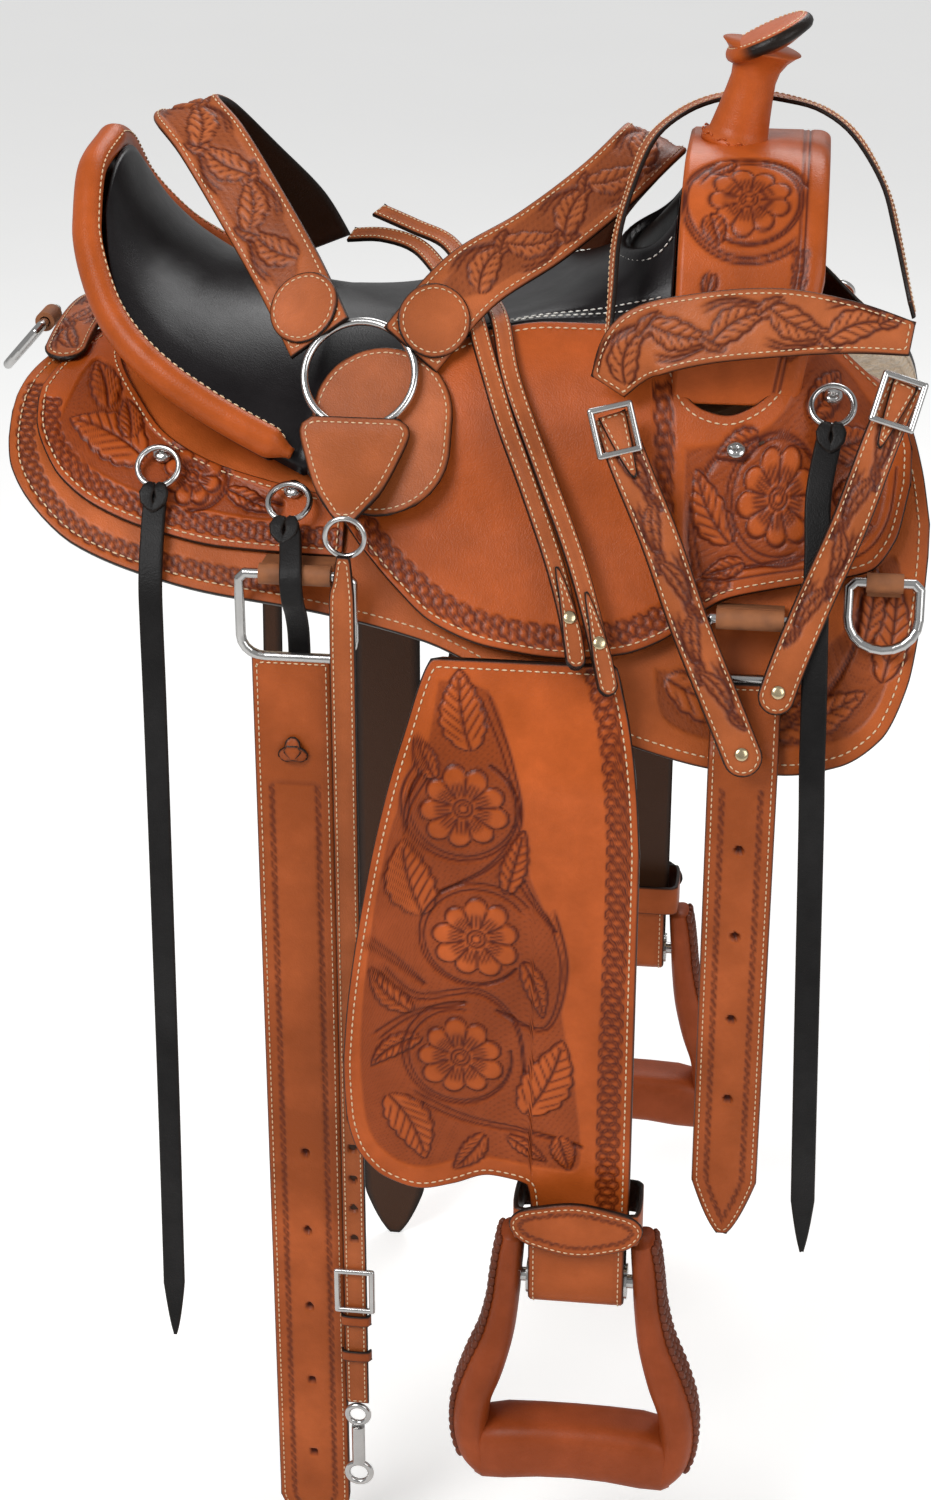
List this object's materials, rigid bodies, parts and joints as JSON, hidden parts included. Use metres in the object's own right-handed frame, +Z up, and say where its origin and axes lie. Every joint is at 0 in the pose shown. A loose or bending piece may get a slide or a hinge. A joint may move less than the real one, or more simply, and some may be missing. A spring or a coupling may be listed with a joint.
{
  "type": "western saddle",
  "caption": "Carved leather western saddle with a horn, padded seat, hanging fenders and stirrups, rigging dees and billets, and a breast collar, headstall and reins hung on it.",
  "frame": {"origin": "middle of the underside, where the saddle's form rests on the top of the horse's back", "axes": "+X to the horse's head and the horn, +Y to the saddle's left side, +Z up"},
  "size_m": [0.6625, 0.542, 1.143],
  "materials": {
    "tree_wood": "rawhide-covered wood, matt",
    "steel": "nickel-plated steel, polished",
    "ground_leather": "plain undyed leather",
    "seat_leather": "smooth black leather, glossy",
    "sheepskin": "cream sheepskin",
    "string_leather": "black latigo leather",
    "saddle_leather": "oiled orange-brown leather, carved, half gloss",
    "skirt_leather": "oiled brown leather, carved, black edges",
    "strap_leather": "tan strap leather, stitched, black edges"
  },
  "bodies": {
    "saddle": {"cantle_back": "skirt_leather", "cantle_binding": "saddle_leather", "cinch_dees": "steel", "fender_hangers": "strap_leather", "fleece_left": "sheepskin", "fleece_right": "sheepskin", "fork_cover": "saddle_leather", "ground_seat": "ground_leather", "horn_cap": "saddle_leather", "horn_core": "steel", "horn_wrap": "saddle_leather", "rear_housing": "skirt_leather", "rear_jockey_left": "skirt_leather", "rear_jockey_right": "skirt_leather", "rigging_straps": "strap_leather", "screws_and_clips": "steel", "seat": "seat_leather", "seat_jockey_left": "saddle_leather", "seat_jockey_right": "saddle_leather", "skirt_left": "skirt_leather", "skirt_right": "skirt_leather", "string_rings_middle": "steel", "strings_middle": "string_leather", "tree_bars": "tree_wood", "tree_cantle": "tree_wood", "tree_fork": "tree_wood"},
    "back_dee": {"back_dee": "steel"},
    "rear_dee_right": {"rear_dee_right": "steel"},
    "rear_dee_left": {"rear_dee_left": "steel"},
    "rear_billet_right": {"rear_billet_right": "strap_leather"},
    "rear_billet_left": {"rear_billet_left": "strap_leather"},
    "front_billet_right": {"front_billet_right": "strap_leather"},
    "latigo_left": {"latigo_left": "strap_leather"},
    "front_dee_right": {"front_dee_right": "steel"},
    "front_dee_left": {"front_dee_left": "steel"},
    "rear_string_right": {"string_rear_right": "string_leather", "string_ring_rear_right": "steel"},
    "rear_string_left": {"string_rear_left": "string_leather", "string_ring_rear_left": "steel"},
    "front_string_right": {"string_front_right": "string_leather", "string_ring_front_right": "steel"},
    "front_string_left": {"string_front_left": "string_leather", "string_ring_front_left": "steel"},
    "fender_right": {"fender_right": "strap_leather", "stirrup_leather_right": "strap_leather", "stirrup_keeper_right": "strap_leather"},
    "fender_left": {"fender_left": "strap_leather", "stirrup_leather_left": "strap_leather", "stirrup_keeper_left": "strap_leather"},
    "stirrup_right": {"stirrup_right": "strap_leather", "stirrup_roller_right": "steel"},
    "stirrup_left": {"stirrup_left": "strap_leather", "stirrup_roller_left": "steel"},
    "reins": {"reins": "strap_leather"},
    "breast_collar": {"breast_collar": "strap_leather", "breast_collar_rings": "steel"},
    "tie_strap": {"tie_strap": "strap_leather", "tie_strap_hardware": "steel"},
    "headstall": {"headstall": "strap_leather", "headstall_buckles": "steel"}
  },
  "joints": [
    {"name": "back_dee_swing", "type": "hinge", "parent": "saddle", "child": "back_dee", "pos_m": [-0.302, 0, 0.026], "axis": [0, 1, 0], "range_deg": [-60, 20]},
    {"name": "rear_dee_swing_right", "type": "hinge", "parent": "saddle", "child": "rear_dee_right", "pos_m": [-0.087, -0.211, -0.08], "axis": [-1, 0, 0], "range_deg": [-2, 0]},
    {"name": "rear_billet_swing_right", "type": "hinge", "parent": "rear_dee_right", "child": "rear_billet_right", "pos_m": [-0.087, -0.211, -0.139], "axis": [-1, 0, 0], "range_deg": [-6, 0]},
    {"name": "front_billet_swing_right", "type": "hinge", "parent": "saddle", "child": "front_billet_right", "pos_m": [0.212, -0.211, -0.139], "axis": [1, 0, 0], "range_deg": [-8, 0]},
    {"name": "front_dee_swing_right", "type": "hinge", "parent": "saddle", "child": "front_dee_right", "pos_m": [0.298, -0.184, -0.078], "axis": [-1, 0, 0], "range_deg": [0, 35]},
    {"name": "rear_string_swing_right", "type": "hinge", "parent": "saddle", "child": "rear_string_right", "pos_m": [-0.188, -0.1491, -0.0181], "axis": [-1, 0, 0], "range_deg": [0, 20]},
    {"name": "front_string_swing_right", "type": "hinge", "parent": "saddle", "child": "front_string_right", "pos_m": [0.258, -0.12634, 0.03356], "axis": [0, -1, 0], "range_deg": [-1, 2]},
    {"name": "fender_swing_right", "type": "hinge", "parent": "saddle", "child": "fender_right", "pos_m": [0.075, -0.236, -0.112], "axis": [0, -1, 0], "range_deg": [-20, 20]},
    {"name": "stirrup_swing_right", "type": "hinge", "parent": "fender_right", "child": "stirrup_right", "pos_m": [0.111, -0.247, -0.597], "axis": [1, 0, 0], "range_deg": [-30, 15]},
    {"name": "rear_dee_swing_left", "type": "hinge", "parent": "saddle", "child": "rear_dee_left", "pos_m": [-0.087, 0.211, -0.08], "axis": [1, 0, 0], "range_deg": [0, 30]},
    {"name": "rear_billet_swing_left", "type": "hinge", "parent": "rear_dee_left", "child": "rear_billet_left", "pos_m": [-0.087, 0.211, -0.139], "axis": [1, 0, 0], "range_deg": [0, 20]},
    {"name": "latigo_swing_left", "type": "hinge", "parent": "saddle", "child": "latigo_left", "pos_m": [0.212, 0.211, -0.139], "axis": [-1, 0, 0], "range_deg": [-20, 0]},
    {"name": "front_dee_swing_left", "type": "hinge", "parent": "saddle", "child": "front_dee_left", "pos_m": [0.298, 0.184, -0.078], "axis": [1, 0, 0], "range_deg": [0, 35]},
    {"name": "rear_string_swing_left", "type": "hinge", "parent": "saddle", "child": "rear_string_left", "pos_m": [-0.188, 0.1491, -0.0181], "axis": [1, 0, 0], "range_deg": [0, 20]},
    {"name": "front_string_swing_left", "type": "hinge", "parent": "saddle", "child": "front_string_left", "pos_m": [0.258, 0.12634, 0.03356], "axis": [-1, 0, 0], "range_deg": [-20, 0]},
    {"name": "fender_swing_left", "type": "hinge", "parent": "saddle", "child": "fender_left", "pos_m": [0.075, 0.236, -0.112], "axis": [0, -1, 0], "range_deg": [-20, 20]},
    {"name": "stirrup_swing_left", "type": "hinge", "parent": "fender_left", "child": "stirrup_left", "pos_m": [0.111, 0.247, -0.597], "axis": [-1, 0, 0], "range_deg": [-30, 15]},
    {"name": "reins_lift_off", "type": "slide", "parent": "saddle", "child": "reins", "axis": [-0.6, 0, 0.8], "range_m": [0, 0.008]},
    {"name": "breast_collar_lift_off", "type": "slide", "parent": "reins", "child": "breast_collar", "axis": [-0.6, 0, 0.8], "range_m": [0, 0.008]},
    {"name": "tie_strap_swing", "type": "hinge", "parent": "breast_collar", "child": "tie_strap", "pos_m": [-0.053, -0.214, -0.051], "axis": [0, -1, 0], "range_deg": [-8, 3]},
    {"name": "headstall_swing", "type": "hinge", "parent": "saddle", "child": "headstall", "pos_m": [0.2, 0.03, 0.196], "axis": [-1, 0, 0], "range_deg": [0, 12]}
  ]
}
